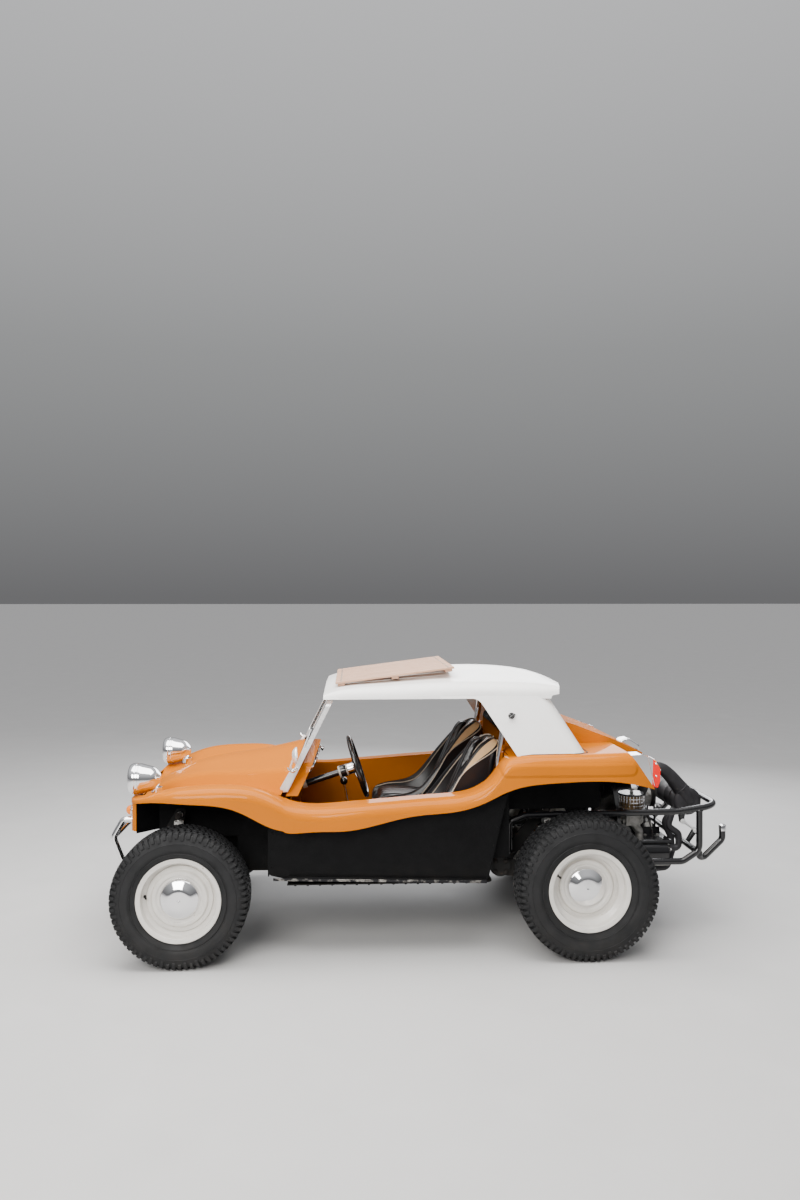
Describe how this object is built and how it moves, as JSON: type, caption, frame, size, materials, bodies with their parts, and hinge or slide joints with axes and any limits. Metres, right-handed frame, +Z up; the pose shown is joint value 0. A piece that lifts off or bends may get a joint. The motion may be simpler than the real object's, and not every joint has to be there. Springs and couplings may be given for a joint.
{
  "type": "dune buggy",
  "caption": "Open dune buggy with a hard top, moulded body, off-road wheels and an exposed rear engine in a tube cage; steers and rolls.",
  "frame": {"origin": "on the ground under the middle of the car's bounding box", "axes": "+Z up, nose towards -X, the car's right side towards +Y"},
  "size_m": [3.276, 1.5802, 1.4542],
  "materials": {
    "body_orange": "glossy amber-orange gel coat",
    "hardtop_white": "satin white gel coat",
    "panel_black": "satin black",
    "board_tan": "oiled pinkish-tan boards",
    "chrome_trim": "polished",
    "screen_glass": "clear",
    "tube_black": "gloss black powder coat",
    "chassis_black": "satin black, dusty",
    "damper": "satin",
    "seat_vinyl": "black vinyl",
    "seat_cloth": "black with beige bands",
    "wheel_rim_black": "worn black rim",
    "control_black": "satin",
    "engine_alloy": "dull cast",
    "shroud_black": "gloss black sheet",
    "filter_bronze": "bronze pleats",
    "exhaust_grey": "matt heat paint",
    "tyre_black": "matt",
    "rim_white": "off-white enamel"
  },
  "bodies": {
    "chassis": {"wing_left": "body_orange", "wing_right": "body_orange", "bonnet": "body_orange", "nose_panel": "body_orange", "cockpit": "body_orange", "rear_deck": "body_orange", "dashboard": "body_orange", "hardtop": "hardtop_white", "side_panel_left": "panel_black", "side_panel_right": "panel_black", "roof_slats": "board_tan", "windscreen_frame": "chrome_trim", "roll_bar": "chrome_trim", "front_bumper": "chrome_trim", "plate_lamp": "chrome_trim", "headlamp_left": "chrome_trim", "headlamp_right": "chrome_trim", "tail_lamp_left": "chrome_trim", "tail_lamp_right": "chrome_trim", "windscreen_glass": "screen_glass", "rear_glass": "screen_glass", "rear_bumper": "tube_black", "floor_pan": "chassis_black", "front_axle": "chassis_black", "rear_axle_left": "chassis_black", "rear_axle_right": "chassis_black", "steering_column": "chassis_black", "front_shock_left": "damper", "front_shock_right": "damper", "rear_shock_left": "damper", "rear_shock_right": "damper", "seat_shell_left": "seat_vinyl", "seat_shell_right": "seat_vinyl", "seat_pad_left": "seat_cloth", "seat_pad_right": "seat_cloth", "gear_lever": "control_black", "handbrake": "control_black", "pedals": "control_black", "engine_case": "engine_alloy", "gearbox": "engine_alloy", "cylinder_bank_left": "engine_alloy", "cylinder_bank_right": "engine_alloy", "fan_shroud": "shroud_black", "carburettor_left": "filter_bronze", "carburettor_right": "filter_bronze", "exhaust": "exhaust_grey"},
    "steering_wheel": {"steering_wheel": "wheel_rim_black"},
    "knuckle_left": {"knuckle_left": "chassis_black"},
    "knuckle_right": {"knuckle_right": "chassis_black"},
    "pitman": {"pitman_arm": "chassis_black"},
    "track_rod_left": {"tie_rod_left": "chassis_black"},
    "track_rod_right": {"tie_rod_right": "chassis_black"},
    "front_wheel_left": {"front_tyre_left": "tyre_black", "front_rim_left": "rim_white"},
    "front_wheel_right": {"front_tyre_right": "tyre_black", "front_rim_right": "rim_white"},
    "rear_wheel_left": {"rear_tyre_left": "tyre_black", "rear_rim_left": "rim_white"},
    "rear_wheel_right": {"rear_tyre_right": "tyre_black", "rear_rim_right": "rim_white"}
  },
  "joints": [
    {"name": "steer_left", "type": "hinge", "parent": "chassis", "child": "knuckle_left", "pos_m": [-1.217, -0.54, 0.34], "axis": [0, 0, 1], "range_deg": [-28, 28]},
    {"name": "steer_right", "type": "hinge", "parent": "chassis", "child": "knuckle_right", "pos_m": [-1.217, 0.54, 0.34], "axis": [0, 0, 1], "range_deg": [-28, 28]},
    {"name": "pitman_turn", "type": "hinge", "parent": "chassis", "child": "pitman", "pos_m": [-1.257, -0.33, 0.37], "axis": [0, 0, 1], "range_deg": [-28, 28]},
    {"name": "track_rod_left_turn", "type": "hinge", "parent": "knuckle_left", "child": "track_rod_left", "pos_m": [-1.087, -0.54, 0.326], "axis": [0, 0, 1], "range_deg": [-28, 28]},
    {"name": "track_rod_right_turn", "type": "hinge", "parent": "knuckle_right", "child": "track_rod_right", "pos_m": [-1.087, 0.54, 0.326], "axis": [0, 0, 1], "range_deg": [-28, 28]},
    {"name": "steering_wheel_turn", "type": "hinge", "parent": "chassis", "child": "steering_wheel", "pos_m": [-0.34, -0.34, 0.914], "axis": [0.9511, 0, 0.309], "range_deg": [-396, 396]},
    {"name": "front_wheel_left_spin", "type": "hinge", "parent": "knuckle_left", "child": "front_wheel_left", "pos_m": [-1.217, -0.686, 0.34], "axis": [0, 1, 0], "continuous": true},
    {"name": "front_wheel_right_spin", "type": "hinge", "parent": "knuckle_right", "child": "front_wheel_right", "pos_m": [-1.217, 0.686, 0.34], "axis": [0, 1, 0], "continuous": true},
    {"name": "rear_wheel_left_spin", "type": "hinge", "parent": "chassis", "child": "rear_wheel_left", "pos_m": [0.815, -0.667, 0.356], "axis": [0, 1, 0], "continuous": true},
    {"name": "rear_wheel_right_spin", "type": "hinge", "parent": "chassis", "child": "rear_wheel_right", "pos_m": [0.815, 0.667, 0.356], "axis": [0, 1, 0], "continuous": true}
  ],
  "couplings": [
    {"joint": "steer_right", "follows": "steer_left", "ratio": 1},
    {"joint": "pitman_turn", "follows": "steer_left", "ratio": 1},
    {"joint": "track_rod_left_turn", "follows": "steer_left", "ratio": -1},
    {"joint": "track_rod_right_turn", "follows": "steer_left", "ratio": -1},
    {"joint": "steering_wheel_turn", "follows": "steer_left", "ratio": 14}
  ]
}
